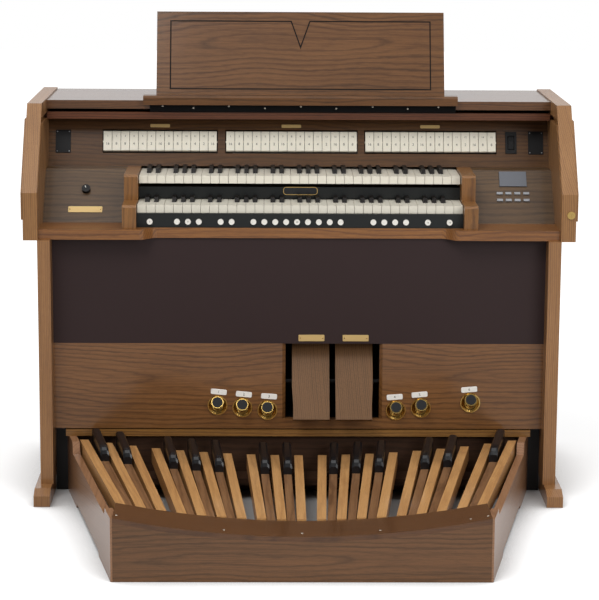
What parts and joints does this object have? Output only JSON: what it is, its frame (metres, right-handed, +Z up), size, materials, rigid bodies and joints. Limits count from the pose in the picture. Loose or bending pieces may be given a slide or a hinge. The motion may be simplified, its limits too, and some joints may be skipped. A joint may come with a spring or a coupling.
{
  "type": "electronic organ",
  "caption": "Console organ in brown oak with two stepped manuals, rocker stop tabs, swell shoes, toe studs, folding music desk and a concave radiating pedalboard.",
  "frame": {"origin": "centre of the footprint on the floor, under the middle of the overall box", "axes": "+X to the player's right, +Y from the pedalboard towards the back panel, +Z up"},
  "size_m": [1.4316, 1.311, 1.2504],
  "materials": {
    "walnut": "walnut-stained oak, satin lacquer",
    "oak": "clear satin lacquer",
    "dark_oak": "dark-stained sticks with glossy black caps",
    "knee_board": "dark aubergine laminate, matt",
    "black_board": "black satin paint",
    "black_plastic": "satin",
    "ivory": "polished",
    "ebony": "satin, dark brown-black",
    "grey_plastic": "satin grey",
    "brass": "polished",
    "steel": "zinc plated"
  },
  "bodies": {
    "console": {"left_cheek": "walnut", "right_cheek": "walnut", "left_side_panel": "walnut", "right_side_panel": "walnut", "left_foot": "walnut", "right_foot": "walnut", "key_table": "walnut", "kick_panel": "walnut", "top_board": "walnut", "stop_panel": "walnut", "left_control_panel": "walnut", "right_control_panel": "walnut", "left_key_block": "walnut", "right_key_block": "walnut", "music_ledge": "walnut", "lower_key_frame": "oak", "upper_key_frame": "oak", "knee_panel": "knee_board", "base_panel": "black_board", "back_panel": "black_board", "shoe_box": "black_board", "lower_key_slip": "black_board", "upper_key_slip": "black_board", "ledge_strip": "black_plastic", "mains_inlet": "black_plastic", "switch_plate": "black_plastic", "left_speaker": "black_plastic", "right_speaker": "black_plastic", "display_screen": "grey_plastic", "left_stud_collars": "brass", "right_stud_collars": "brass", "shoe_axle": "steel", "desk_hinge": "steel", "sound_module": "steel"},
    "pedalboard": {"pedal_heel_board": "walnut", "pedal_heel_cap": "walnut", "left_pedal_side": "walnut", "right_pedal_side": "walnut", "pedal_toe_board": "walnut"},
    "lower_naturals": {"lower_naturals": "ivory"},
    "lower_sharps": {"lower_sharps": "ebony"},
    "upper_naturals": {"upper_naturals": "ivory"},
    "upper_sharps": {"upper_sharps": "ebony"},
    "left_stop_tabs": {"left_stop_tabs": "ivory"},
    "middle_stop_tabs": {"middle_stop_tabs": "ivory"},
    "right_stop_tabs": {"right_stop_tabs": "ivory"},
    "thumb_pistons": {"thumb_pistons": "ivory"},
    "menu_buttons": {"menu_buttons": "grey_plastic"},
    "power_switch": {"power_switch": "black_plastic"},
    "rocker_switch": {"rocker_switch": "black_plastic"},
    "left_toe_studs": {"left_toe_studs": "brass"},
    "right_toe_studs": {"right_toe_studs": "brass"},
    "left_shoe": {"left_shoe": "walnut"},
    "right_shoe": {"right_shoe": "walnut"},
    "music_desk": {"music_desk": "walnut"},
    "desk_prop": {"desk_prop": "steel"},
    "roll_lid": {"roll_lid": "walnut"},
    "lid_lock": {"lid_lock": "brass"},
    "pedal_naturals": {"pedal_naturals": "oak"},
    "pedal_sharps": {"pedal_sharps": "dark_oak"}
  },
  "joints": [
    {"name": "lower_naturals_press", "type": "hinge", "parent": "console", "child": "lower_naturals", "pos_m": [0.0015, 0.4155, 0.7497], "axis": [1, 0, 0], "range_deg": [0, 1.6], "stiffness_Nm_per_rad": 60, "springref_deg": -11.46},
    {"name": "lower_sharps_press", "type": "hinge", "parent": "console", "child": "lower_sharps", "pos_m": [0.0015, 0.4255, 0.7497], "axis": [1, 0, 0], "range_deg": [0, 1.5], "stiffness_Nm_per_rad": 20, "springref_deg": -11.46},
    {"name": "upper_naturals_press", "type": "hinge", "parent": "console", "child": "upper_naturals", "pos_m": [0.0015, 0.5105, 0.8137], "axis": [1, 0, 0], "range_deg": [0, 1.6], "stiffness_Nm_per_rad": 60, "springref_deg": -11.46},
    {"name": "upper_sharps_press", "type": "hinge", "parent": "console", "child": "upper_sharps", "pos_m": [0.0015, 0.5205, 0.8137], "axis": [1, 0, 0], "range_deg": [0, 1.5], "stiffness_Nm_per_rad": 20, "springref_deg": -11.46},
    {"name": "pedal_naturals_press", "type": "hinge", "parent": "pedalboard", "child": "pedal_naturals", "pos_m": [0, -0.6305, 0.077], "axis": [-1, 0, 0], "range_deg": [0, 1.05], "stiffness_Nm_per_rad": 200, "springref_deg": -14.32},
    {"name": "pedal_sharps_press", "type": "hinge", "parent": "pedalboard", "child": "pedal_sharps", "pos_m": [0, -0.6245, 0.061], "axis": [-1, 0, 0], "range_deg": [0, 1.05], "stiffness_Nm_per_rad": 150, "springref_deg": -14.32},
    {"name": "pedalboard_slide", "type": "slide", "parent": "console", "child": "pedalboard", "axis": [0, -1, 0], "range_m": [0, 0.5]},
    {"name": "left_stop_tabs_rock", "type": "hinge", "parent": "console", "child": "left_stop_tabs", "pos_m": [0, 0.3794, 0.90315], "axis": [1, 0, 0], "range_deg": [0, 12]},
    {"name": "middle_stop_tabs_rock", "type": "hinge", "parent": "console", "child": "middle_stop_tabs", "pos_m": [0, 0.3794, 0.90315], "axis": [1, 0, 0], "range_deg": [0, 12]},
    {"name": "right_stop_tabs_rock", "type": "hinge", "parent": "console", "child": "right_stop_tabs", "pos_m": [0, 0.3794, 0.90315], "axis": [1, 0, 0], "range_deg": [0, 12]},
    {"name": "thumb_pistons_push", "type": "slide", "parent": "console", "child": "thumb_pistons", "axis": [0, 1, 0], "range_m": [0, 0.0025], "stiffness_N_per_m": 200, "springref_m": -0.004},
    {"name": "menu_buttons_push", "type": "slide", "parent": "console", "child": "menu_buttons", "axis": [0, 0.766, -0.6428], "range_m": [0, 0.0015], "stiffness_N_per_m": 150, "springref_m": -0.005},
    {"name": "power_switch_turn", "type": "hinge", "parent": "console", "child": "power_switch", "pos_m": [-0.563, 0.24478, 0.7901], "axis": [0, -0.766, 0.6428], "range_deg": [0, 90]},
    {"name": "rocker_switch_rock", "type": "hinge", "parent": "console", "child": "rocker_switch", "pos_m": [0.573, 0.37586, 0.90337], "axis": [1, 0, 0], "range_deg": [0, 8]},
    {"name": "left_toe_studs_push", "type": "slide", "parent": "console", "child": "left_toe_studs", "axis": [0, 0.866, -0.5], "range_m": [0, 0.008], "stiffness_N_per_m": 1500, "springref_m": -0.01},
    {"name": "right_toe_studs_push", "type": "slide", "parent": "console", "child": "right_toe_studs", "axis": [0, 0.866, -0.5], "range_m": [0, 0.008], "stiffness_N_per_m": 1500, "springref_m": -0.01},
    {"name": "left_shoe_tilt", "type": "hinge", "parent": "console", "child": "left_shoe", "pos_m": [0.031, 0.12365, 0.30136], "axis": [-1, 0, 0], "range_deg": [0, 30]},
    {"name": "right_shoe_tilt", "type": "hinge", "parent": "console", "child": "right_shoe", "pos_m": [0.145, 0.12365, 0.30136], "axis": [-1, 0, 0], "range_deg": [0, 30]},
    {"name": "music_desk_fold", "type": "hinge", "parent": "console", "child": "music_desk", "pos_m": [0.004, 0.3625, 1.03], "axis": [-1, 0, 0], "range_deg": [0, 70]},
    {"name": "desk_prop_fold", "type": "hinge", "parent": "music_desk", "child": "desk_prop", "pos_m": [0.004, 0.3967, 1.12397], "axis": [-1, 0, 0], "range_deg": [-140, 0]},
    {"name": "roll_lid_slide", "type": "slide", "parent": "console", "child": "roll_lid", "axis": [0, -1, 0], "range_m": [0, 0.145]},
    {"name": "lid_lock_turn", "type": "hinge", "parent": "console", "child": "lid_lock", "pos_m": [0.6974, 0.0455, 0.757], "axis": [0, -1, 0], "range_deg": [0, 90]}
  ],
  "couplings": [
    {"joint": "desk_prop_fold", "follows": "music_desk_fold", "ratio": -2}
  ]
}
